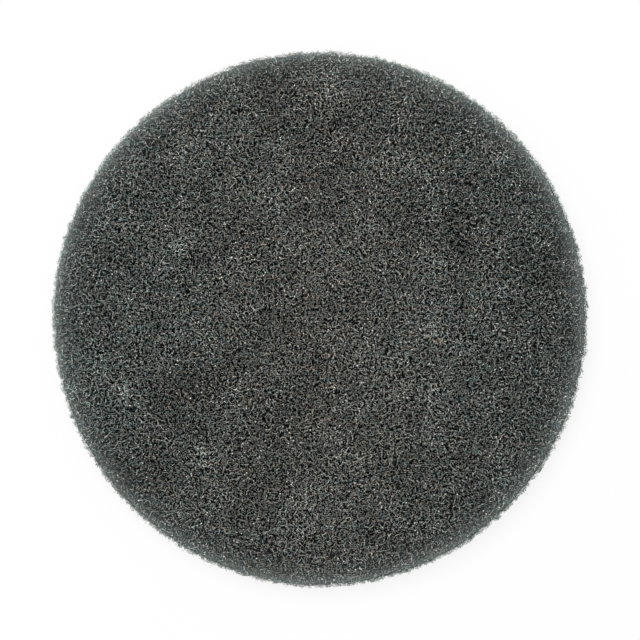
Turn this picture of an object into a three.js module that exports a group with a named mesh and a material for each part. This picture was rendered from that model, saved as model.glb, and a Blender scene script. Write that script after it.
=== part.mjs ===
// Non-woven hook and loop disc: one round punched out of a lofty web of curled nylon fibres.
// The open web itself catches the hooks of a backing pad, so the disc is a single piece.
// Millimetres, +Z up. The origin is the middle of the flat underside, and the working face is up.
import * as THREE from "three";
import { mergeVertices } from "three/addons/utils/BufferGeometryUtils.js";

// Driving dimensions
const DISC_DIAMETER = 150;
const WEB_THICKNESS = 8;
const WORK_CORNER = 1.6; // radius of the soft corner round the working face
const GRIP_CORNER = 0.7; // radius of the tighter corner where the die came through
const WALL_WAIST = 0.35; // how far the cut wall draws in half way up
const FACE_LOFT = 0.3; // how far the working face swells and dips either way
const LOFT_PITCH = 34; // distance from one swelling of that face to the next

// The punched outline is a circle with a slow lobe and two finer waves, each [waves, height, turn].
const OUTLINE_WAVES = [
  [3, 0.16, 1.78],
  [11, 0.04, 0.6],
  [29, 0.07, 2.3],
];

// The loft is three crossing swells, each [direction, pitch as a share, height as a share, shift].
const LOFT_SWELLS = [
  [0.4, 1, 0.45, 0.3],
  [1.9, 0.76, 0.33, 1.7],
  [2.8, 0.55, 0.22, 4.1],
];

// Fineness of the mesh
const AROUND = 144;
const FACE_RINGS = 9;
const CORNER_STEPS = 4;
const WALL_STEPS = 4;

const discRadius = DISC_DIAMETER / 2;

// Half of the disc's section, from the middle of the underside, out and up, and back over the top.
function discSection() {
  const wallFoot = GRIP_CORNER;
  const wallHead = WEB_THICKNESS - WORK_CORNER;
  const section = [new THREE.Vector2(0, 0)];
  for (let i = 0; i <= CORNER_STEPS; i++) {
    const turn = (i / CORNER_STEPS) * (Math.PI / 2);
    section.push(
      new THREE.Vector2(
        discRadius - GRIP_CORNER * (1 - Math.sin(turn)),
        GRIP_CORNER * (1 - Math.cos(turn)),
      ),
    );
  }
  for (let i = 1; i < WALL_STEPS; i++) {
    const share = i / WALL_STEPS;
    section.push(
      new THREE.Vector2(
        discRadius - WALL_WAIST * Math.sin(Math.PI * share),
        wallFoot + (wallHead - wallFoot) * share,
      ),
    );
  }
  for (let i = 0; i <= CORNER_STEPS; i++) {
    const turn = (i / CORNER_STEPS) * (Math.PI / 2);
    section.push(
      new THREE.Vector2(
        discRadius - WORK_CORNER * (1 - Math.cos(turn)),
        wallHead + WORK_CORNER * Math.sin(turn),
      ),
    );
  }
  for (let i = 1; i <= FACE_RINGS; i++) {
    const share = i / FACE_RINGS;
    section.push(new THREE.Vector2((discRadius - WORK_CORNER) * (1 - share), WEB_THICKNESS));
  }
  return section;
}

// How much further out than a true circle the punched edge lies, in the direction of an angle.
function outlineAt(angle) {
  return OUTLINE_WAVES.reduce(
    (sum, [waves, height, turn]) => sum + height * Math.cos(waves * angle - turn),
    0,
  );
}

// How far the working face swells above, or dips below, the web's thickness at a place on it.
function loftAt(x, y) {
  return LOFT_SWELLS.reduce((sum, [direction, pitch, height, shift]) => {
    const along = x * Math.cos(direction) + y * Math.sin(direction);
    return sum + FACE_LOFT * height * Math.sin((2 * Math.PI * along) / (LOFT_PITCH * pitch) + shift);
  }, 0);
}

// The section is turned about Z, then the outline's waves and the face's loft shape it.
// The loft grows from nothing half way up the wall to its full height on the working face.
function webDisc() {
  const turned = new THREE.LatheGeometry(discSection(), AROUND);
  turned.rotateX(Math.PI / 2);
  turned.deleteAttribute("normal");
  turned.deleteAttribute("uv");
  const disc = mergeVertices(turned);
  const place = disc.getAttribute("position");
  for (let i = 0; i < place.count; i++) {
    const x = place.getX(i);
    const y = place.getY(i);
    const z = place.getZ(i);
    const grow = 1 + outlineAt(Math.atan2(y, x)) / discRadius;
    const nearTop = Math.max(0, (2 * z) / WEB_THICKNESS - 1);
    place.setXYZ(i, x * grow, y * grow, z + nearTop * loftAt(x, y));
  }
  disc.computeVertexNormals();
  return disc;
}

const boundWeb = new THREE.MeshStandardMaterial({
  color: 0x464846,
  roughness: 0.9,
  metalness: 0,
});

const webDiscMesh = new THREE.Mesh(webDisc(), boundWeb);
webDiscMesh.name = "web_disc";

const hookAndLoopDisc = new THREE.Group();
hookAndLoopDisc.add(webDiscMesh);

export default hookAndLoopDisc;
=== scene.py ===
import math

import bmesh
import bpy
import numpy as np
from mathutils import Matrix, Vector, noise


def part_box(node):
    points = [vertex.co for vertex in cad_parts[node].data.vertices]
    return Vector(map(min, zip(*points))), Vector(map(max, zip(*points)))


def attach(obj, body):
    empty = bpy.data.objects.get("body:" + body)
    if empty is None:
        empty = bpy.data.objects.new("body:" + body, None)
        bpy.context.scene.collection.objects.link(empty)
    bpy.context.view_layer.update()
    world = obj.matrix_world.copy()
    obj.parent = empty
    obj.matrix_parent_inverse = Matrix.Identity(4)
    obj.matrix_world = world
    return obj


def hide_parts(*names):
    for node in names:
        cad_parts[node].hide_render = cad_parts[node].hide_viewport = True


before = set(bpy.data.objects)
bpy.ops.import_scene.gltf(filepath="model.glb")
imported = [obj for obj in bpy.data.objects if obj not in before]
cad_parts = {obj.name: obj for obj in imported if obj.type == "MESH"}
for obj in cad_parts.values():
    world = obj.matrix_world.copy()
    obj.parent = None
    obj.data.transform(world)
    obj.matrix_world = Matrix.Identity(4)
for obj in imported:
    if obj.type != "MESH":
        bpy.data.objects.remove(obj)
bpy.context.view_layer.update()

# The bulk of the web: crimped nylon staple laid in a lofty mat, bonded with resin and punched into
# a round by a die. The fibres deep inside are too many to draw one by one, so one closed body
# with a matted surface stands for them, and it shows only dimly between the outer ones.

# The web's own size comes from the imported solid, whose face swells and dips by the loft
DISC_LOW, DISC_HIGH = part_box("web_disc")
DISC_RADIUS = (DISC_HIGH[0] - DISC_LOW[0]) / 2
FACE_LOFT = 0.0003
DISC_TOP = DISC_HIGH[2] - FACE_LOFT

# The punched outline is a circle with a slow lobe and two finer waves: waves, height, turn
OUTLINE_WAVES_MM = ((3, 0.16, 1.78), (11, 0.04, 0.6), (29, 0.07, 2.3))

# How deep the bulk lies under the outer fibres, and how it comes up to them near the cut edge
BULK_SIDE_DEPTH = 0.0006
BULK_TOP_DEPTH = 0.001
BULK_FOOT_DEPTH = 0.0004
BULK_CORNER = 0.001
BULK_RIM_RISE = 0.0006
BULK_RIM_WIDTH = 0.003

# How finely its mesh is divided, and the lumps that push it in and out
BULK_AROUND = 240
BULK_RINGS = 60
BULK_CORNER_STEPS = 3
BULK_WALL_STEPS = 4
BULK_LUMP_SIZE = 0.0016
BULK_LUMP_HEIGHT = 0.0003
BULK_LUMP_SEED = 5

# The matted fibres on it: winding lines that follow a noise of 0.55 mm, where real ones lie less
# than 0.1 mm apart. They are drawn that coarse because finer lines don't show in the render.
TANGLE_SIZE = 0.00055
TANGLE_TURNS = 2
TANGLE_PEAK = 0.5
TANGLE_FIBRE_WIDTH = 0.25
TANGLE_ASIDE = (3, 5, 7)
TANGLE_SECOND_SHARE = 0.6
TANGLE_RELIEF = 0.0003
TANGLE_FIBRE = "#848684"
# The gaps between the lines are painted nearly black: painted shade deep in the web
TANGLE_GAP_SHADE = "#060708"
TANGLE_ROUGHNESS = 0.9
TANGLE_SPECULAR = 0.0

# How the web's shade and hue drift from place to place, over these lengths and this far
NOISE_SPAN = (0.3, 0.7)
MOTTLE_SIZE = 0.014
MOTTLE_DETAIL = 3
MOTTLE_ROUGHNESS = 0.6
MOTTLE_GAIN = (0.81, 1.36)
MOTTLE_HUE = 0.3
HUE_SIZE = 0.0018
HUE_SWING = 0.85
HUE_MIDDLE = -0.2
HUE_EDGE = 0.75
HUE_WEIGHTS = (1, 0.3, 0)
WARM_TINT = (1.013, 1.0, 0.963, 1)
COOL_TINT = (0.9, 1.0, 0.995, 1)

# How much paler and cooler the face is round its edge, where light comes through the web
FLAT = (1, 1, 0)
RIM_DEPTH = 0.00225
RIM_GAIN = (1.8, 1.98, 2.01)
RIM_HAZE = 0.5
RIM_COLOUR = "#a4acab"
RIM_FOOT = 0.0045
END_DEPTH = 0.0012
END_GAIN = (1.35, 1.47, 1.49)

# Where the web came off the line thicker (above 1) or thinner (below 1): x, y, radius, gain
TUFTS_MM = (
    (-55, -20, 4, 2.0), (-39, 20, 4, 1.9), (3, 63, 7, 1.6), (-36, 48, 10, 1.4),
    (32, -4, 6, 1.7), (31, -22, 6, 1.7), (-31, -38, 6, 1.6), (-4, -56, 9, 1.3),
    (31, 14, 8, 1.4), (-58, 18, 9, 0.75), (-34, -18, 12, 0.8), (38, 25, 9, 0.8),
    (10, -20, 7, 0.8), (42, -46, 9, 0.8),
)


def linear(colour):
    """An sRGB hex colour as linear red, green, blue and alpha."""
    parts = [int(colour[i : i + 2], 16) / 255 for i in (1, 3, 5)]
    return [p / 12.92 if p <= 0.04045 else ((p + 0.055) / 1.055) ** 2.4 for p in parts] + [1]


def add(tree, kind, settings=None, links=None):
    """Adds a node to a tree, with its settings and what its sockets are linked to or hold."""
    node = tree.nodes.new(kind)
    for name, value in (settings or {}).items():
        setattr(node, name, value)
    for name, value in (links or {}).items():
        live = [s for s in node.inputs if s.enabled]
        socket = live[name] if isinstance(name, int) else next(s for s in live if s.name == name)
        if isinstance(value, bpy.types.Node):
            value = next(s for s in value.outputs if s.enabled)
        if isinstance(value, bpy.types.NodeSocket):
            tree.links.new(value, socket)
        else:
            socket.default_value = value
    return node


def outline_at(angle):
    """How far out from a true circle the punched edge lies in this direction."""
    return sum(h * math.cos(w * angle - turn) for w, h, turn in OUTLINE_WAVES_MM) / 1000


def from_noise(tree, value, low, high):
    """A noise, which stays near its middle, spread out from low to high."""
    return add(tree, "ShaderNodeMapRange", {}, {
        "Value": value, "From Min": NOISE_SPAN[0], "From Max": NOISE_SPAN[1],
        "To Min": low, "To Max": high,
    })


def tuft_share(tree, place):
    """How much thicker or thinner than the rest the web is at a place, from the list above."""
    share = 1.0
    for x, y, radius, gain in TUFTS_MM:
        away = add(tree, "ShaderNodeVectorMath", {"operation": "DISTANCE"},
                   {0: place, 1: (x / 1000, y / 1000, DISC_TOP)})
        tuft = add(tree, "ShaderNodeMapRange", {"interpolation_type": "SMOOTHSTEP"}, {
            "Value": away.outputs["Value"], "From Min": 0.0, "From Max": radius / 1000,
            "To Min": gain, "To Max": 1.0,
        })
        share = add(tree, "ShaderNodeMath", {"operation": "MULTIPLY"}, {0: share, 1: tuft})
    return share


def mottled(tree, place, shade):
    """A shade made lighter, darker, warmer and cooler from place to place, as the web is."""
    broad = add(tree, "ShaderNodeTexNoise", {}, {
        "Vector": place, "Scale": 1 / MOTTLE_SIZE, "Detail": MOTTLE_DETAIL,
        "Roughness": MOTTLE_ROUGHNESS,
    })
    gain = from_noise(tree, broad.outputs["Fac"], *MOTTLE_GAIN)
    tuft = tuft_share(tree, place)
    gain = add(tree, "ShaderNodeMath", {"operation": "MULTIPLY"}, {0: gain, 1: tuft})

    # The middle is the warmest, and it grows cooler towards both sides
    out = add(tree, "ShaderNodeVectorMath", {"operation": "MULTIPLY"}, {0: place, 1: HUE_WEIGHTS})
    out = add(tree, "ShaderNodeVectorMath", {"operation": "LENGTH"}, {0: out})
    cool = add(tree, "ShaderNodeMapRange", {}, {
        "Value": out.outputs["Value"], "From Min": 0.0, "From Max": DISC_RADIUS,
        "To Min": HUE_MIDDLE, "To Max": HUE_EDGE,
    })
    drift = from_noise(tree, broad.outputs["Color"], -MOTTLE_HUE, MOTTLE_HUE)
    cool = add(tree, "ShaderNodeMath", {"operation": "ADD"}, {0: cool, 1: drift})
    fine = add(tree, "ShaderNodeTexNoise", {}, {
        "Vector": place, "Scale": 1 / HUE_SIZE, "Detail": 0.0,
    })
    fine = from_noise(tree, fine.outputs["Fac"], -HUE_SWING, HUE_SWING)
    cool = add(tree, "ShaderNodeMath", {"operation": "ADD"}, {0: cool, 1: fine})
    tint = add(tree, "ShaderNodeMix", {"data_type": "RGBA", "clamp_factor": False}, {
        "Factor": cool, "A": WARM_TINT, "B": COOL_TINT,
    })
    shade = add(tree, "ShaderNodeVectorMath", {"operation": "MULTIPLY"}, {0: shade, 1: tint})
    return add(tree, "ShaderNodeVectorMath", {"operation": "SCALE"}, {0: shade, "Scale": gain})


def paler_rim(tree, place, shade):
    """A shade made paler and cooler round the face's edge, where light comes through the web."""
    out = add(tree, "ShaderNodeVectorMath", {"operation": "MULTIPLY"}, {0: place, 1: FLAT})
    out = add(tree, "ShaderNodeVectorMath", {"operation": "LENGTH"}, {0: out}).outputs["Value"]
    rim = add(tree, "ShaderNodeMapRange", {"clamp": False}, {
        "Value": out, "From Min": DISC_RADIUS - RIM_DEPTH, "From Max": DISC_RADIUS,
        "To Min": -1.0, "To Max": 0.0,
    })
    rim = add(tree, "ShaderNodeMath", {"operation": "EXPONENT"}, {0: rim})
    rim = add(tree, "ShaderNodeMath", {"operation": "MINIMUM"}, {0: rim, 1: 1.0})
    height = add(tree, "ShaderNodeSeparateXYZ", {}, {0: place}).outputs["Z"]
    height = add(tree, "ShaderNodeMapRange", {}, {
        "Value": height, "From Min": RIM_FOOT, "From Max": DISC_TOP, "To Min": 0.0, "To Max": 1.0,
    })
    rim = add(tree, "ShaderNodeMath", {"operation": "MULTIPLY"}, {0: rim, 1: height})
    pale = add(tree, "ShaderNodeVectorMath", {"operation": "MULTIPLY"}, {0: shade, 1: RIM_GAIN})
    pale = add(tree, "ShaderNodeMix", {"data_type": "RGBA"},
               {"Factor": RIM_HAZE, "A": pale, "B": linear(RIM_COLOUR)})
    shade = add(tree, "ShaderNodeMix", {"data_type": "RGBA"},
                {"Factor": rim, "A": shade, "B": pale})

    # The cut ends of the face's fibres catch that light most of all
    ends = add(tree, "ShaderNodeMapRange", {}, {
        "Value": out, "From Min": DISC_RADIUS - END_DEPTH, "From Max": DISC_RADIUS,
        "To Min": 0.0, "To Max": 1.0,
    })
    ends = add(tree, "ShaderNodeMath", {"operation": "MULTIPLY"}, {0: ends, 1: height})
    lit = add(tree, "ShaderNodeVectorMath", {"operation": "MULTIPLY"}, {0: shade, 1: END_GAIN})
    return add(tree, "ShaderNodeMix", {"data_type": "RGBA"}, {"Factor": ends, "A": shade, "B": lit})


def matted_lines(tree, place):
    """Thin winding lines, bright along the level lines of a noise, as matted fibres lie."""
    field = add(tree, "ShaderNodeTexNoise", {}, {
        "Vector": place, "Scale": 1 / TANGLE_SIZE, "Detail": 0.0,
    })
    field = add(tree, "ShaderNodeMath", {"operation": "MULTIPLY"},
                {0: field.outputs["Fac"], 1: TANGLE_TURNS})
    field = add(tree, "ShaderNodeMath", {"operation": "PINGPONG"}, {0: field, 1: TANGLE_PEAK})
    return add(tree, "ShaderNodeMapRange", {"interpolation_type": "SMOOTHSTEP"}, {
        "Value": field, "From Min": TANGLE_PEAK - TANGLE_FIBRE_WIDTH, "From Max": TANGLE_PEAK,
        "To Min": 0.0, "To Max": 1.0,
    })


def matted_web_material():
    """Matted nylon a millimetre down: dull and matt, dim fibres, and the gaps between them painted
    nearly black as shade.
    """
    material = bpy.data.materials.new("matted_nylon_web")
    material.use_nodes = True
    tree = material.node_tree
    tree.nodes.clear()
    place = add(tree, "ShaderNodeTexCoord").outputs["Object"]
    aside = add(tree, "ShaderNodeVectorMath", {"operation": "ADD"}, {0: place, 1: TANGLE_ASIDE})
    one = matted_lines(tree, place)
    two = matted_lines(tree, aside)
    two = add(tree, "ShaderNodeMath", {"operation": "MULTIPLY"}, {0: two, 1: TANGLE_SECOND_SHARE})
    lines = add(tree, "ShaderNodeMath", {"operation": "MAXIMUM"}, {0: one, 1: two})
    # Painted shade: the gaps between the matted lines are nearly black
    shade = add(tree, "ShaderNodeMix", {"data_type": "RGBA"}, {
        "Factor": lines, "A": linear(TANGLE_GAP_SHADE), "B": linear(TANGLE_FIBRE),
    })
    shade = mottled(tree, place, shade)
    shade = paler_rim(tree, place, shade)
    relief = add(tree, "ShaderNodeBump", {}, {"Height": lines, "Distance": TANGLE_RELIEF})
    shader = add(tree, "ShaderNodeBsdfPrincipled", {}, {
        "Base Color": shade, "Roughness": TANGLE_ROUGHNESS, "Specular IOR Level": TANGLE_SPECULAR,
        "Normal": relief,
    })
    add(tree, "ShaderNodeOutputMaterial", {}, {"Surface": shader})
    return material


def bulk_section(radius, top):
    """Half of the bulk's section, from beside the middle of its foot, out and up, and back."""
    inner = radius - BULK_CORNER
    low = BULK_FOOT_DEPTH + BULK_CORNER
    high = top - BULK_CORNER
    corner = []
    for i in range(1, BULK_CORNER_STEPS + 1):
        turn = math.radians(90 * i / (BULK_CORNER_STEPS + 1))
        corner.append((BULK_CORNER * math.sin(turn), BULK_CORNER * math.cos(turn)))
    section = [(inner * i / BULK_RINGS, BULK_FOOT_DEPTH) for i in range(1, BULK_RINGS + 1)]
    section += [(inner + out, low - drop) for out, drop in corner]
    for i in range(BULK_WALL_STEPS + 1):
        section.append((radius, low + (high - low) * i / BULK_WALL_STEPS))
    section += [(inner + out, high + rise) for out, rise in reversed(corner)]
    section += [(inner * i / BULK_RINGS, top) for i in range(BULK_RINGS, 0, -1)]
    return section


def web_bulk():
    """A low drum of rings with soft corners, pushed in and out by noise."""
    # Without a seed of its own the noise would move each time that the script runs
    noise.seed_set(BULK_LUMP_SEED)
    radius = DISC_RADIUS - BULK_SIDE_DEPTH
    top = DISC_TOP - BULK_TOP_DEPTH
    shape = bmesh.new()
    rings = []
    for r, z in bulk_section(radius, top):
        # The web is packed closer at its cut edge, so the bulk comes up nearer to the fibres there
        near_rim = max(0.0, 1 - (radius - r) / BULK_RIM_WIDTH)
        z += BULK_RIM_RISE * near_rim * (z - BULK_FOOT_DEPTH) / (top - BULK_FOOT_DEPTH)
        ring = []
        for i in range(BULK_AROUND):
            angle = 2 * math.pi * i / BULK_AROUND
            out = r * (1 + outline_at(angle) / radius)
            p = Vector((out * math.cos(angle), out * math.sin(angle), z))
            lump = noise.noise_vector(p / BULK_LUMP_SIZE) * BULK_LUMP_HEIGHT
            ring.append(shape.verts.new(p + lump))
        rings.append(ring)
    for a, b in zip(rings, rings[1:]):
        for i in range(BULK_AROUND):
            j = (i + 1) % BULK_AROUND
            shape.faces.new((a[i], a[j], b[j], b[i]))
    for ring, z, order in ((rings[0], BULK_FOOT_DEPTH, -1), (rings[-1], top, 1)):
        pole = shape.verts.new((0, 0, z))
        for i in range(BULK_AROUND):
            shape.faces.new((pole, *(ring[i], ring[(i + 1) % BULK_AROUND])[::order]))
    bmesh.ops.recalc_face_normals(shape, faces=shape.faces)
    mesh = bpy.data.meshes.new("web_bulk")
    shape.to_mesh(mesh)
    shape.free()
    for face in mesh.polygons:
        face.use_smooth = True
    mesh.materials.append(matted_web_material())
    piece = bpy.data.objects.new("web_bulk", mesh)
    bpy.context.collection.objects.link(piece)
    return piece


bulk = web_bulk()
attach(bulk, "root")
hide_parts("web_disc")


# The fibres of the working face: crimped nylon staple, laid at random, tangled and bonded where
# it crosses. The die that punched the disc cut every fibre off at the disc's edge.
# Real staple of this kind is 0.05 to 0.1 mm thick. It is drawn 0.1 to 0.15 mm wide, to show.
FIBRE_RADIUS = 0.00007
FIBRE_THINNEST = 0.8
FIBRE_STOUTEST = 1.25
FIBRE_SIDES = 3

# How a fibre curls: the length of its steps, how much it turns at each, and how far it rises
FIBRE_STEP = 0.00045
FIBRE_CURL = 0.9
FIBRE_BEND = 6.0
FIBRE_WAVE = 0.28
FIBRE_WAVE_DETAIL = 1
FIBRE_WAVE_ROUGHNESS = 0.5
FIBRE_TRACKS_APART = 7.31
FIBRE_LIFT = 0.0014

# How the die left the web: its corners, the swell of its face, and how raggedly it is cut
FACE_CORNER = 0.0016
FOOT_CORNER = 0.0007
LOFT_SIZE = 0.034
LOFT_SPAN = (0.25, 0.75)
CUT_STRAY = 0.0009
CUT_STRAY_POWER = 3.0
CUT_RAGGED = 0.0033
CUT_RAGGED_SIZE = 0.0015
CUT_RAGGED_DETAIL = 1

# The drops of resin on the fibres: their sizes, and how they come in clumps and in tufts
BEAD_RADIUS = 0.00013
BEAD_SEGMENTS = 4
BEAD_RINGS = 2
BEAD_SIZES = (0.7, 2.0)
BEAD_SIZE_POWER = 8.0
BEAD_CLUMP_SIZE = 0.009
BEAD_CLUMP_DETAIL = 1.0
BEAD_CLUMP_SPAN = (0.45, 0.7)
BEAD_CLUMP_GAIN = (0.1, 4.0)
BEAD_TUFT_POWER = 2.5

# What each kind of random draw adds to the seed, so that the draws don't repeat each other
BODY_DRAW = 100
TRAIT_DRAW = 200
BEAD_DRAW = 300

FIELD_SIDES = 256
FACE_DENSITY = 3e6
FACE_PITCH = 0.15
FACE_LAYERS = (
    # name, how far apart, steps, lowest and highest below the top, share of beads, seed
    ("face_fibres_upper", 0.0014, 5, -0.0004, -0.0001, 0.14, 11),
    ("face_fibres_second", 0.001, 3, -0.0007, -0.0004, 0.12, 12),
)

FIBRE_INPUTS = (
    ("Apart", "NodeSocketFloat"), ("Density", "NodeSocketFloat"),
    ("Steps", "NodeSocketInt"), ("Step", "NodeSocketFloat"),
    ("Thickness", "NodeSocketFloat"), ("Start Inner", "NodeSocketFloat"),
    ("Start Outer", "NodeSocketFloat"), ("Low", "NodeSocketFloat"),
    ("High", "NodeSocketFloat"), ("Pitch", "NodeSocketFloat"),
    ("Curl", "NodeSocketFloat"), ("Bend", "NodeSocketFloat"), ("Wave", "NodeSocketFloat"),
    ("Lift", "NodeSocketFloat"), ("Cut Radius", "NodeSocketFloat"),
    ("Cut Stray", "NodeSocketFloat"), ("Cut Ragged", "NodeSocketFloat"),
    ("Floor", "NodeSocketFloat"), ("Top", "NodeSocketFloat"), ("Loft", "NodeSocketFloat"),
    ("Face Corner", "NodeSocketFloat"), ("Foot Corner", "NodeSocketFloat"),
    ("Beads", "NodeSocketFloat"), ("Bead Radius", "NodeSocketFloat"),
    ("Seed", "NodeSocketInt"), ("Material", "NodeSocketMaterial"),
)


def three_draws(tree, number, seed, more):
    """Three random numbers for each fibre or point, apart from the other draws by `more`."""
    seed = add(tree, "FunctionNodeIntegerMath", {"operation": "ADD"}, {0: seed, 1: more})
    draw = add(tree, "FunctionNodeRandomValue", {"data_type": "FLOAT_VECTOR"},
               {"ID": number, "Seed": seed, "Min": (0, 0, 0), "Max": (1, 1, 1)})
    return add(tree, "ShaderNodeSeparateXYZ", {}, {0: draw}).outputs


def fibre_steps(tree, given):
    """Points scattered over a ring, no two too near each other, and each copied for its steps."""
    span = add(tree, "ShaderNodeMath", {"operation": "SUBTRACT"},
               {0: given["Start Outer"], 1: given["Start Inner"]})
    half = add(tree, "ShaderNodeMath", {"operation": "MULTIPLY"}, {0: span, 1: 0.5})
    mean = add(tree, "ShaderNodeMath", {"operation": "ADD"}, {0: half, 1: given["Start Inner"]})
    back = add(tree, "ShaderNodeMath", {"operation": "MULTIPLY"}, {0: half, 1: -1.0})
    ring = add(tree, "GeometryNodeCurvePrimitiveCircle", {},
               {"Resolution": FIELD_SIDES, "Radius": mean}).outputs["Curve"]
    ring = add(tree, "GeometryNodeSetCurveNormal", {"mode": "Z_UP"}, {"Curve": ring})
    left = add(tree, "ShaderNodeCombineXYZ", {}, {"X": back})
    right = add(tree, "ShaderNodeCombineXYZ", {}, {"X": half})
    rung = add(tree, "GeometryNodeCurvePrimitiveLine", {}, {"Start": left, "End": right})
    field = add(tree, "GeometryNodeCurveToMesh", {}, {"Curve": ring, "Profile Curve": rung})
    middles = add(tree, "GeometryNodeDistributePointsOnFaces", {"distribute_method": "POISSON"}, {
        "Mesh": field, "Distance Min": given["Apart"], "Density Max": given["Density"],
        "Seed": given["Seed"],
    }).outputs["Points"]
    index = add(tree, "GeometryNodeInputIndex")
    middles = add(tree, "GeometryNodeStoreNamedAttribute", {"data_type": "INT"},
                  {"Geometry": middles, "Name": "fibre", "Value": index})
    copies = add(tree, "GeometryNodeDuplicateElements", {"domain": "POINT"},
                 {"Geometry": middles, "Amount": given["Steps"]})
    return add(tree, "GeometryNodeStoreNamedAttribute", {"data_type": "INT"}, {
        "Geometry": copies, "Name": "step", "Value": copies.outputs["Duplicate Index"],
    })


def curled_place(tree, given, fibre, step, body, trait):
    """Where a step of a fibre lies. Each fibre is a walk of short steps round its middle: it turns
    at a rate of its own, one noise bends it further and one lifts it."""
    along = add(tree, "ShaderNodeMath", {"operation": "MULTIPLY"}, {0: step, 1: given["Wave"]})
    track = add(tree, "ShaderNodeMath", {"operation": "MULTIPLY_ADD"},
                {0: fibre, 1: FIBRE_TRACKS_APART, 2: given["Seed"]})
    track = add(tree, "ShaderNodeCombineXYZ", {}, {"X": along, "Y": track})
    waver = add(tree, "ShaderNodeTexNoise", {"noise_dimensions": "3D"}, {
        "Vector": track, "Scale": 1, "Detail": FIBRE_WAVE_DETAIL,
        "Roughness": FIBRE_WAVE_ROUGHNESS,
    })
    waver = add(tree, "ShaderNodeSeparateXYZ", {}, {0: waver.outputs["Color"]}).outputs
    heading = add(tree, "ShaderNodeMath", {"operation": "MULTIPLY"},
                  {0: waver["X"], 1: given["Bend"]})
    heading = add(tree, "ShaderNodeMath", {"operation": "MULTIPLY_ADD"},
                  {0: body["Y"], 1: 2 * math.pi, 2: heading})
    rate = add(tree, "ShaderNodeMapRange", {}, {"Value": body["Z"], "To Min": -1.0, "To Max": 1.0})
    rate = add(tree, "ShaderNodeMath", {"operation": "MULTIPLY"}, {0: rate, 1: given["Curl"]})
    heading = add(tree, "ShaderNodeMath", {"operation": "MULTIPLY_ADD"},
                  {0: step, 1: rate, 2: heading})
    pitch = add(tree, "ShaderNodeMapRange", {},
                {"Value": trait["X"], "To Min": -1.0, "To Max": 1.0})
    pitch = add(tree, "ShaderNodeMath", {"operation": "MULTIPLY"}, {0: pitch, 1: given["Pitch"]})
    stride = add(tree, "ShaderNodeCombineXYZ", {}, {"X": given["Step"]})
    stride = add(tree, "ShaderNodeVectorRotate", {"rotation_type": "Y_AXIS"},
                 {"Vector": stride, "Angle": pitch})
    stride = add(tree, "ShaderNodeVectorRotate", {"rotation_type": "Z_AXIS"},
                 {"Vector": stride, "Angle": heading})

    # The walk is shifted so that the middle of it lies on the point that the fibre grew from
    walked = add(tree, "GeometryNodeAccumulateField", {"data_type": "FLOAT_VECTOR"},
                 {"Value": stride, "Group ID": fibre}).outputs["Trailing"]
    total = add(tree, "GeometryNodeAccumulateField", {"data_type": "FLOAT_VECTOR"},
                {"Value": walked, "Group ID": fibre}).outputs["Total"]
    share = add(tree, "ShaderNodeMath", {"operation": "DIVIDE"}, {0: 1.0, 1: given["Steps"]})
    middle = add(tree, "ShaderNodeVectorMath", {"operation": "SCALE"}, {0: total, "Scale": share})
    walked = add(tree, "ShaderNodeVectorMath", {"operation": "SUBTRACT"}, {0: walked, 1: middle})
    height = add(tree, "ShaderNodeMix", {"data_type": "FLOAT"},
                 {"Factor": body["X"], "A": given["Low"], "B": given["High"]})
    rise = add(tree, "ShaderNodeMath", {"operation": "SUBTRACT"}, {0: waver["Y"], 1: 0.5})
    rise = add(tree, "ShaderNodeMath", {"operation": "MULTIPLY_ADD"},
               {0: rise, 1: given["Lift"], 2: height})
    rise = add(tree, "ShaderNodeCombineXYZ", {}, {"Z": rise})
    start = add(tree, "GeometryNodeInputPosition")
    place = add(tree, "ShaderNodeVectorMath", {"operation": "ADD"}, {0: start, 1: walked})
    return add(tree, "ShaderNodeVectorMath", {"operation": "ADD"}, {0: place, 1: rise})


def corner_drop(tree, reach, edge, corner):
    """How far a round corner of this radius draws back, at this reach from the middle."""
    begin = add(tree, "ShaderNodeMath", {"operation": "SUBTRACT"}, {0: edge, 1: corner})
    share = add(tree, "ShaderNodeMapRange", {}, {
        "Value": reach, "From Min": begin, "From Max": edge, "To Min": 0.0, "To Max": 1.0,
    })
    share = add(tree, "ShaderNodeMath", {"operation": "MULTIPLY"}, {0: share, 1: share})
    share = add(tree, "ShaderNodeMath", {"operation": "SUBTRACT"}, {0: 1.0, 1: share})
    share = add(tree, "ShaderNodeMath", {"operation": "SQRT"}, {0: share})
    share = add(tree, "ShaderNodeMath", {"operation": "SUBTRACT"}, {0: 1.0, 1: share})
    return add(tree, "ShaderNodeMath", {"operation": "MULTIPLY"}, {0: share, 1: corner})


def punched_edge(tree, given, part):
    """How far from the middle the die cut the web, in the direction of this place."""
    angle = add(tree, "ShaderNodeMath", {"operation": "ARCTAN2"}, {0: part["Y"], 1: part["X"]})
    edge = given["Cut Radius"]
    for waves, height, turn in OUTLINE_WAVES_MM:
        wave = add(tree, "ShaderNodeMath", {"operation": "MULTIPLY_ADD"},
                   {0: angle, 1: float(waves), 2: -turn})
        wave = add(tree, "ShaderNodeMath", {"operation": "COSINE"}, {0: wave})
        edge = add(tree, "ShaderNodeMath", {"operation": "MULTIPLY_ADD"},
                   {0: wave, 1: height / 1000, 2: edge})
    return edge


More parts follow.
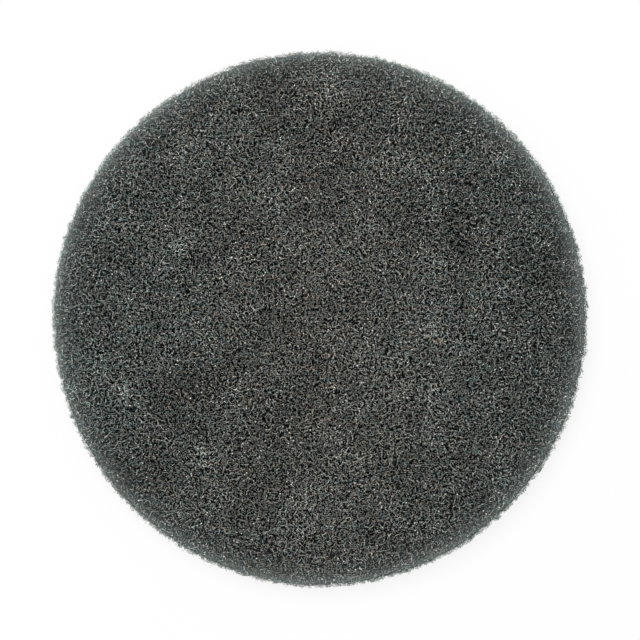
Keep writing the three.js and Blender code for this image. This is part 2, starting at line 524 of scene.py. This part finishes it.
def within_web(tree, given, part, flat, reach, edge):
    """A place pressed into the web's outer shape, whose face swells and dips and whose edges are
    rounded. Gives the new place and how deep it lies under the web's surface."""
    swell = add(tree, "ShaderNodeTexNoise", {},
                {"Vector": flat, "Scale": 1 / LOFT_SIZE, "Detail": 0.0})
    swell = add(tree, "ShaderNodeMapRange", {}, {
        "Value": swell.outputs["Fac"], "From Min": LOFT_SPAN[0], "From Max": LOFT_SPAN[1],
        "To Min": -1.0, "To Max": 1.0,
    })
    top = add(tree, "ShaderNodeMath", {"operation": "MULTIPLY_ADD"},
              {0: swell, 1: given["Loft"], 2: given["Top"]})
    drop = corner_drop(tree, reach, edge, given["Face Corner"])
    top = add(tree, "ShaderNodeMath", {"operation": "SUBTRACT"}, {0: top, 1: drop})
    foot = corner_drop(tree, reach, edge, given["Foot Corner"])
    foot = add(tree, "ShaderNodeMath", {"operation": "ADD"}, {0: foot, 1: given["Floor"]})
    share = add(tree, "ShaderNodeMath", {"operation": "DIVIDE"}, {0: part["Z"], 1: given["Top"]})
    level = add(tree, "ShaderNodeMix", {"data_type": "FLOAT", "clamp_factor": False},
                {"Factor": share, "A": foot, "B": top})
    level = add(tree, "ShaderNodeMath", {"operation": "MAXIMUM"}, {0: level, 1: foot})
    place = add(tree, "ShaderNodeCombineXYZ", {}, {"X": part["X"], "Y": part["Y"], "Z": level})
    over = add(tree, "ShaderNodeMath", {"operation": "SUBTRACT"}, {0: top, 1: level})
    under = add(tree, "ShaderNodeMath", {"operation": "SUBTRACT"}, {0: level, 1: given["Floor"]})
    inside = add(tree, "ShaderNodeMath", {"operation": "SUBTRACT"}, {0: edge, 1: reach})
    depth = add(tree, "ShaderNodeMath", {"operation": "MINIMUM"}, {0: over, 1: under})
    depth = add(tree, "ShaderNodeMath", {"operation": "MINIMUM"}, {0: depth, 1: inside})
    depth = add(tree, "ShaderNodeMath", {"operation": "MAXIMUM"}, {0: depth, 1: 0.0})
    return place, depth


def past_the_cut(tree, given, flat, reach, edge, trait):
    """Whether the die cuts a place away. Some fibres stray past the edge, and it is ragged."""
    ragged = add(tree, "ShaderNodeTexNoise", {}, {
        "Vector": flat, "Scale": 1 / CUT_RAGGED_SIZE, "Detail": CUT_RAGGED_DETAIL,
    }).outputs["Fac"]
    ragged = add(tree, "ShaderNodeMath", {"operation": "SUBTRACT"}, {0: ragged, 1: 0.5})
    stray = add(tree, "ShaderNodeMath", {"operation": "POWER"},
                {0: trait["Y"], 1: CUT_STRAY_POWER})
    limit = add(tree, "ShaderNodeMath", {"operation": "MULTIPLY_ADD"},
                {0: stray, 1: given["Cut Stray"], 2: edge})
    limit = add(tree, "ShaderNodeMath", {"operation": "MULTIPLY_ADD"},
                {0: ragged, 1: given["Cut Ragged"], 2: limit})
    return add(tree, "ShaderNodeMath", {"operation": "GREATER_THAN"}, {0: reach, 1: limit})


def has_bead(tree, given, flat, place):
    """Whether a drop of resin set on a place. It is likelier in clumps and in thicker web."""
    clump = add(tree, "ShaderNodeTexNoise", {}, {
        "Vector": flat, "Scale": 1 / BEAD_CLUMP_SIZE, "Detail": BEAD_CLUMP_DETAIL,
    })
    clump = add(tree, "ShaderNodeMapRange", {}, {
        "Value": clump.outputs["Fac"],
        "From Min": BEAD_CLUMP_SPAN[0], "From Max": BEAD_CLUMP_SPAN[1],
        "To Min": BEAD_CLUMP_GAIN[0], "To Max": BEAD_CLUMP_GAIN[1],
    })
    chance = add(tree, "ShaderNodeMath", {"operation": "MULTIPLY"}, {0: clump, 1: given["Beads"]})
    tuft = add(tree, "ShaderNodeMath", {"operation": "POWER"},
               {0: tuft_share(tree, place), 1: BEAD_TUFT_POWER})
    chance = add(tree, "ShaderNodeMath", {"operation": "MULTIPLY"}, {0: chance, 1: tuft})
    index = add(tree, "GeometryNodeInputIndex")
    lucky = three_draws(tree, index, given["Seed"], BEAD_DRAW)
    return add(tree, "ShaderNodeMath", {"operation": "LESS_THAN"}, {0: lucky["X"], 1: chance})


def fibre_tubes(tree, given, points):
    """A thin tube through what is left of each fibre. One that kept a single point is dropped."""
    run = add(tree, "GeometryNodeInputNamedAttribute", {"data_type": "INT"}, {"Name": "run"})
    strands = add(tree, "GeometryNodePointsToCurves", {}, {"Points": points, "Curve Group ID": run})
    length = add(tree, "GeometryNodeSplineLength")
    single = add(tree, "ShaderNodeMath", {"operation": "LESS_THAN"},
                 {0: length.outputs["Point Count"], 1: 1.5})
    strands = add(tree, "GeometryNodeDeleteGeometry", {"domain": "CURVE"},
                  {"Geometry": strands, "Selection": single})
    around = add(tree, "GeometryNodeCurvePrimitiveCircle", {},
                 {"Resolution": FIBRE_SIDES, "Radius": given["Thickness"]})
    tone = add(tree, "GeometryNodeInputNamedAttribute", {"data_type": "FLOAT"}, {"Name": "tone"})
    stout = add(tree, "ShaderNodeMapRange", {}, {
        "Value": tone, "To Min": FIBRE_THINNEST, "To Max": FIBRE_STOUTEST,
    })
    tubes = add(tree, "GeometryNodeCurveToMesh", {},
                {"Curve": strands, "Profile Curve": around, "Scale": stout, "Fill Caps": True})
    return add(tree, "GeometryNodeStoreNamedAttribute", {"data_type": "FLOAT"},
               {"Geometry": tubes, "Name": "bead", "Value": 0.0})


def resin_drops(tree, given, points):
    """Small drops of resin, which set where a fibre caught them. Few of them are large."""
    beaded = add(tree, "GeometryNodeInputNamedAttribute", {"data_type": "FLOAT"}, {"Name": "bead"})
    drop = add(tree, "GeometryNodeMeshUVSphere", {}, {
        "Radius": given["Bead Radius"], "Segments": BEAD_SEGMENTS, "Rings": BEAD_RINGS,
    })
    size = add(tree, "FunctionNodeRandomValue", {"data_type": "FLOAT"},
               {"Min": 0.0, "Max": 1.0, "Seed": given["Seed"]})
    size = add(tree, "ShaderNodeMath", {"operation": "POWER"}, {0: size, 1: BEAD_SIZE_POWER})
    size = add(tree, "ShaderNodeMapRange", {}, {
        "Value": size, "To Min": BEAD_SIZES[0], "To Max": BEAD_SIZES[1],
    })
    drops = add(tree, "GeometryNodeInstanceOnPoints", {},
                {"Points": points, "Selection": beaded, "Instance": drop, "Scale": size})
    return add(tree, "GeometryNodeRealizeInstances", {}, {"Geometry": drops})


def curled_fibre_tree():
    """The tree that makes every kind of fibre here, from its inputs."""
    tree = bpy.data.node_groups.new("curled_fibres", "GeometryNodeTree")
    for name, kind in FIBRE_INPUTS:
        tree.interface.new_socket(name=name, in_out="INPUT", socket_type=kind)
    tree.interface.new_socket(name="Mesh", in_out="OUTPUT", socket_type="NodeSocketGeometry")
    given = add(tree, "NodeGroupInput").outputs

    # The fibres' steps, each with the number of its fibre and of itself
    points = fibre_steps(tree, given)
    fibre = add(tree, "GeometryNodeInputNamedAttribute", {"data_type": "INT"}, {"Name": "fibre"})
    step = add(tree, "GeometryNodeInputNamedAttribute", {"data_type": "INT"}, {"Name": "step"})
    body = three_draws(tree, fibre, given["Seed"], BODY_DRAW)
    trait = three_draws(tree, fibre, given["Seed"], TRAIT_DRAW)

    # Where they lie in the web
    place = curled_place(tree, given, fibre, step, body, trait)
    flat = add(tree, "ShaderNodeVectorMath", {"operation": "MULTIPLY"}, {0: place, 1: FLAT})
    reach = add(tree, "ShaderNodeVectorMath", {"operation": "LENGTH"}, {0: flat}).outputs["Value"]
    part = add(tree, "ShaderNodeSeparateXYZ", {}, {0: place}).outputs
    edge = punched_edge(tree, given, part)
    place, depth = within_web(tree, given, part, flat, reach, edge)
    points = add(tree, "GeometryNodeSetPosition", {}, {"Geometry": points, "Position": place})

    # The die: what lies past the edge is cut away, and a fibre cut in two makes two runs
    gone = past_the_cut(tree, given, flat, reach, edge, trait)
    cuts = add(tree, "GeometryNodeAccumulateField", {"data_type": "INT"},
               {"Value": gone, "Group ID": fibre})
    run = add(tree, "FunctionNodeIntegerMath", {"operation": "MULTIPLY_ADD"},
              {0: fibre, 1: given["Steps"], 2: cuts.outputs["Leading"]})
    bead = has_bead(tree, given, flat, place)
    for name, kind, value in (
        ("run", "INT", run),
        ("tone", "FLOAT", trait["Z"]), ("depth", "FLOAT", depth), ("hue", "FLOAT", body["X"]),
        ("bead", "FLOAT", bead), ("gone", "FLOAT", gone),
    ):
        points = add(tree, "GeometryNodeStoreNamedAttribute", {"data_type": kind},
                     {"Geometry": points, "Name": name, "Value": value})
    gone = add(tree, "GeometryNodeInputNamedAttribute", {"data_type": "FLOAT"}, {"Name": "gone"})
    points = add(tree, "GeometryNodeDeleteGeometry", {}, {"Geometry": points, "Selection": gone})

    # The mesh: a tube for each run, and the drops of resin
    tubes = fibre_tubes(tree, given, points)
    drops = resin_drops(tree, given, points)
    whole = add(tree, "GeometryNodeJoinGeometry")
    tree.links.new(drops.outputs[0], whole.inputs[0])
    tree.links.new(tubes.outputs[0], whole.inputs[0])
    whole = add(tree, "GeometryNodeSetShadeSmooth", {}, {"Geometry": whole})
    whole = add(tree, "GeometryNodeRealizeInstances", {}, {"Geometry": whole})
    made = add(tree, "GeometryNodeSetMaterial", {},
               {"Geometry": whole, "Material": given["Material"]})
    add(tree, "NodeGroupOutput", {}, {0: made})
    return tree


# Each fibre has a shade of its own between a dark and a light one, colder or warmer. The specks
# of resin and grit along it are really under 0.1 mm; they are drawn 0.5 mm long, to show.
COLD_NYLON = ("#687170", "#a0a7a6")
WARM_NYLON = ("#75756e", "#adaaa1")
# The drops of resin are near white: partly their own pale resin, partly painted glints
RESIN_BEAD_AND_GLINT = "#f2f2ec"
SHADE_DEPTH = 0.0007
SPECK_SIZE = 0.00055
SPECK_DETAIL = 1
SPECK_SPAN = (0.35, 0.65)
SPECK_GAIN = (0.2, 1.8)
NYLON_ROUGHNESS = 0.5
NYLON_SPECULAR = 0.4


def nylon_fibre_material():
    """Nylon staple under a thin coat of resin and fine dark grit: grey, with a dull sheen."""
    material = bpy.data.materials.new("resin_bonded_nylon_staple")
    material.use_nodes = True
    tree = material.node_tree
    tree.nodes.clear()
    place = add(tree, "ShaderNodeTexCoord").outputs["Object"]
    tone = add(tree, "ShaderNodeAttribute", {"attribute_name": "tone"}).outputs["Fac"]
    hue = add(tree, "ShaderNodeAttribute", {"attribute_name": "hue"}).outputs["Fac"]
    depth = add(tree, "ShaderNodeAttribute", {"attribute_name": "depth"}).outputs["Fac"]
    bead = add(tree, "ShaderNodeAttribute", {"attribute_name": "bead"}).outputs["Fac"]
    cold = add(tree, "ShaderNodeMix", {"data_type": "RGBA"}, {
        "Factor": tone, "A": linear(COLD_NYLON[0]), "B": linear(COLD_NYLON[1]),
    })
    warm = add(tree, "ShaderNodeMix", {"data_type": "RGBA"}, {
        "Factor": tone, "A": linear(WARM_NYLON[0]), "B": linear(WARM_NYLON[1]),
    })
    shade = add(tree, "ShaderNodeMix", {"data_type": "RGBA"}, {"Factor": hue, "A": cold, "B": warm})

    # Deep fibres are drawn darker: the many finer ones above them, which aren't drawn, shade them
    fade = add(tree, "ShaderNodeMath", {"operation": "DIVIDE"}, {0: depth, 1: -SHADE_DEPTH})
    fade = add(tree, "ShaderNodeMath", {"operation": "EXPONENT"}, {0: fade})
    shade = add(tree, "ShaderNodeVectorMath", {"operation": "SCALE"}, {0: shade, "Scale": fade})

    # Resin and grit lie along the fibres in specks
    speck = add(tree, "ShaderNodeTexNoise", {}, {
        "Vector": place, "Scale": 1 / SPECK_SIZE, "Detail": SPECK_DETAIL,
    })
    speck = add(tree, "ShaderNodeMapRange", {}, {
        "Value": speck.outputs["Fac"], "From Min": SPECK_SPAN[0], "From Max": SPECK_SPAN[1],
        "To Min": SPECK_GAIN[0], "To Max": SPECK_GAIN[1],
    })
    shade = add(tree, "ShaderNodeVectorMath", {"operation": "SCALE"}, {0: shade, "Scale": speck})
    shade = mottled(tree, place, shade)
    shade = paler_rim(tree, place, shade)
    # The drops of resin take a near-white colour, partly their own and partly painted highlight
    shade = add(tree, "ShaderNodeMix", {"data_type": "RGBA"}, {
        "Factor": bead, "A": shade, "B": linear(RESIN_BEAD_AND_GLINT),
    })
    shader = add(tree, "ShaderNodeBsdfPrincipled", {}, {
        "Base Color": shade, "Roughness": NYLON_ROUGHNESS, "Specular IOR Level": NYLON_SPECULAR,
    })
    add(tree, "ShaderNodeOutputMaterial", {}, {"Surface": shader})
    return material


# The room that a face's corners leave to the border of its square
CELL_INSET = 0.1


def give_faces_cells(mesh):
    """The map that the colours can be baked through, in which each face has a small square of its
    own.
    """
    faces = len(mesh.polygons)
    first = np.empty(faces, dtype=int)
    sides = np.empty(faces, dtype=int)
    mesh.polygons.foreach_get("loop_start", first)
    mesh.polygons.foreach_get("loop_total", sides)
    face = np.repeat(np.arange(faces), sides)
    corner = np.arange(len(face)) - np.repeat(first, sides)
    across = math.ceil(math.sqrt(faces))
    low, high = CELL_INSET, 1 - CELL_INSET
    inset = np.array([(low, low), (high, low), (high, high), (low, high)])[corner]
    cells = (np.stack((face % across, face // across), axis=1) + inset) / across
    mesh.uv_layers.new(name="OFBake").uv.foreach_set("vector", cells.astype(np.float32).ravel())


def fibre_piece(name, tree, values):
    """Runs the fibre tree with these values and keeps what it makes as a plain mesh."""
    maker = bpy.data.objects.new(name + "_maker", bpy.data.meshes.new(name + "_start"))
    bpy.context.collection.objects.link(maker)
    modifier = maker.modifiers.new("fibres", "NODES")
    modifier.node_group = tree
    for item in tree.interface.items_tree:
        if item.in_out == "INPUT":
            modifier[item.identifier] = values[item.name]
    depsgraph = bpy.context.evaluated_depsgraph_get()
    mesh = bpy.data.meshes.new_from_object(maker.evaluated_get(depsgraph))
    mesh.name = name
    maker.modifiers.remove(modifier)
    bpy.data.objects.remove(maker)
    for helper in ("fibre", "step", "run", "gone"):
        if helper in mesh.attributes:
            mesh.attributes.remove(mesh.attributes[helper])
    give_faces_cells(mesh)
    piece = bpy.data.objects.new(name, mesh)
    bpy.context.collection.objects.link(piece)
    return piece


fibre_tree = curled_fibre_tree()
nylon = nylon_fibre_material()

STAPLE = {
    "Step": FIBRE_STEP, "Thickness": FIBRE_RADIUS,
    "Curl": FIBRE_CURL, "Bend": FIBRE_BEND, "Wave": FIBRE_WAVE, "Lift": FIBRE_LIFT,
    "Cut Radius": DISC_RADIUS, "Cut Stray": CUT_STRAY, "Cut Ragged": CUT_RAGGED,
    "Floor": FIBRE_RADIUS * FIBRE_STOUTEST, "Top": DISC_TOP, "Loft": FACE_LOFT,
    "Face Corner": FACE_CORNER, "Foot Corner": FOOT_CORNER,
    "Bead Radius": BEAD_RADIUS, "Material": nylon,
}

for name, apart, steps, low, high, beads, seed in FACE_LAYERS:
    piece = fibre_piece(name, fibre_tree, STAPLE | {
        "Apart": apart, "Density": FACE_DENSITY, "Steps": steps,
        "Start Inner": 0.0, "Start Outer": DISC_RADIUS + FIBRE_STEP,
        "Low": DISC_TOP + low, "High": DISC_TOP + high, "Pitch": FACE_PITCH, "Beads": beads,
        "Seed": seed,
    })
    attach(piece, "root")


# The fibres of the cut wall: the same staple, seen where the die went through the web. They lie
# every way, and the ends that the die left stand a little proud of each other.
WALL_APART = 0.000122
WALL_STEPS = 4
WALL_DENSITY = 8e7
WALL_BAND = 0.0007
WALL_OVER = 0.0008
WALL_MARGIN = 0.0005
WALL_PITCH = 1.2
WALL_BEADS = 0.01
WALL_SEED = 31

piece = fibre_piece("cut_wall_fibres", fibre_tree, STAPLE | {
    "Apart": WALL_APART, "Density": WALL_DENSITY, "Steps": WALL_STEPS,
    "Start Inner": DISC_RADIUS - WALL_BAND, "Start Outer": DISC_RADIUS + WALL_OVER,
    "Low": WALL_MARGIN, "High": DISC_TOP - WALL_MARGIN, "Pitch": WALL_PITCH,
    "Beads": WALL_BEADS, "Seed": WALL_SEED,
})
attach(piece, "root")


# The fibres of the underside: the same staple, pressed flat where the disc lies on the bench and
# where the hooks of a backing pad catch in it. It is drawn without drops of resin.
UNDER_APART = 0.0014
UNDER_STEPS = 5
UNDER_DEPTH = 0.0006
UNDER_SEED = 41

piece = fibre_piece("underside_fibres", fibre_tree, STAPLE | {
    "Apart": UNDER_APART, "Density": FACE_DENSITY, "Steps": UNDER_STEPS,
    "Start Inner": 0.0, "Start Outer": DISC_RADIUS,
    "Low": 0.0, "High": UNDER_DEPTH, "Pitch": FACE_PITCH, "Beads": 0.0, "Seed": UNDER_SEED,
})
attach(piece, "root")


# The bench under the disc: a white board, which shows nearly plain white to the eye and in
# reflections. It keeps a little of the disc's shadow close to the disc.
FLOOR_SIDE = 6.0
FLOOR_SHADE = "#e8e8e8"
FLOOR_WHITE_SHARE = 0.85
FLOOR_SHADOW_NEAR = 0.15
FLOOR_SHADOW_FAR = 0.6


def seen_share(tree):
    """One for what the camera, a reflection or clear matter shows, and nought for other light."""
    ray = add(tree, "ShaderNodeLightPath").outputs
    seen = add(tree, "ShaderNodeMath", {"operation": "MAXIMUM"},
               {0: ray["Is Camera Ray"], 1: ray["Is Glossy Ray"]})
    return add(tree, "ShaderNodeMath", {"operation": "MAXIMUM"},
               {0: seen, 1: ray["Is Transmission Ray"]})


def floor_material():
    """Melamine-faced white board: plain, smooth and matt, whiter the further from the disc."""
    material = bpy.data.materials.new("white_board")
    material.use_nodes = True
    tree = material.node_tree
    tree.nodes.clear()
    place = add(tree, "ShaderNodeTexCoord").outputs["Object"]
    away = add(tree, "ShaderNodeVectorMath", {"operation": "LENGTH"}, {0: place})
    share = add(tree, "ShaderNodeMapRange", {}, {
        "Value": away.outputs["Value"], "From Min": FLOOR_SHADOW_NEAR, "From Max": FLOOR_SHADOW_FAR,
        "To Min": FLOOR_WHITE_SHARE, "To Max": 1.0,
    })
    share = add(tree, "ShaderNodeMath", {"operation": "MULTIPLY"}, {0: seen_share(tree), 1: share})
    board = add(tree, "ShaderNodeBsdfDiffuse", {}, {"Color": linear(FLOOR_SHADE)})
    white = add(tree, "ShaderNodeEmission", {}, {"Color": (1, 1, 1, 1), "Strength": 1})
    mixed = add(tree, "ShaderNodeMixShader", {}, {0: share, 1: board, 2: white})
    add(tree, "ShaderNodeOutputMaterial", {}, {"Surface": mixed})
    return material


floor_mesh = bpy.data.meshes.new("floor")
half = FLOOR_SIDE / 2
floor_mesh.from_pydata(
    [(-half, -half, 0), (half, -half, 0), (half, half, 0), (-half, half, 0)], [], [(0, 1, 2, 3)]
)
floor_mesh.materials.append(floor_material())
floor = bpy.data.objects.new("floor", floor_mesh)
bpy.context.collection.objects.link(floor)


# The light: a large soft lamp above and a little behind the disc, and pale light from all round.
LAMP_SIZE = 0.7
LAMP_PLACE = (-0.25, 0.35, 0.9)
LAMP_WATTS = 9.0
WORLD_STRENGTH = 0.55

lamp_data = bpy.data.lights.new("soft_lamp", "AREA")
lamp_data.size = LAMP_SIZE
lamp_data.energy = LAMP_WATTS
lamp = bpy.data.objects.new("soft_lamp", lamp_data)
bpy.context.collection.objects.link(lamp)
lamp.location = LAMP_PLACE
lamp.rotation_euler = (-Vector(LAMP_PLACE)).to_track_quat("-Z", "Y").to_euler()

world = bpy.data.worlds.new("studio")
bpy.context.scene.world = world
world.use_nodes = True
world_tree = world.node_tree
world_tree.nodes.clear()
strength = add(world_tree, "ShaderNodeMapRange", {}, {
    "Value": seen_share(world_tree), "To Min": WORLD_STRENGTH, "To Max": 1.0,
})
sky = add(world_tree, "ShaderNodeBackground", {}, {"Color": (1, 1, 1, 1), "Strength": strength})
add(world_tree, "ShaderNodeOutputWorld", {}, {"Surface": sky})


# The camera looks straight down, as the photograph does. The disc's edge is 266.3 px from its
# middle there, and that middle is 1.34 px above the middle of the picture.
PICTURE_SIDE_PX = 640
DISC_RADIUS_PX = 266.3
DISC_ABOVE_CENTRE_PX = 1.34
LENS_MM = 135
SENSOR_MM = 36

camera_data = bpy.data.cameras.new("camera")
camera_data.lens = LENS_MM
camera_data.sensor_width = SENSOR_MM
camera = bpy.data.objects.new("camera", camera_data)
bpy.context.collection.objects.link(camera)
bpy.context.scene.camera = camera
metre_per_px = DISC_RADIUS / DISC_RADIUS_PX
camera_height = metre_per_px * PICTURE_SIDE_PX * LENS_MM / SENSOR_MM
camera.location = (0, -DISC_ABOVE_CENTRE_PX * metre_per_px, DISC_TOP / 2 + camera_height)

bpy.context.scene.view_settings.view_transform = "Standard"
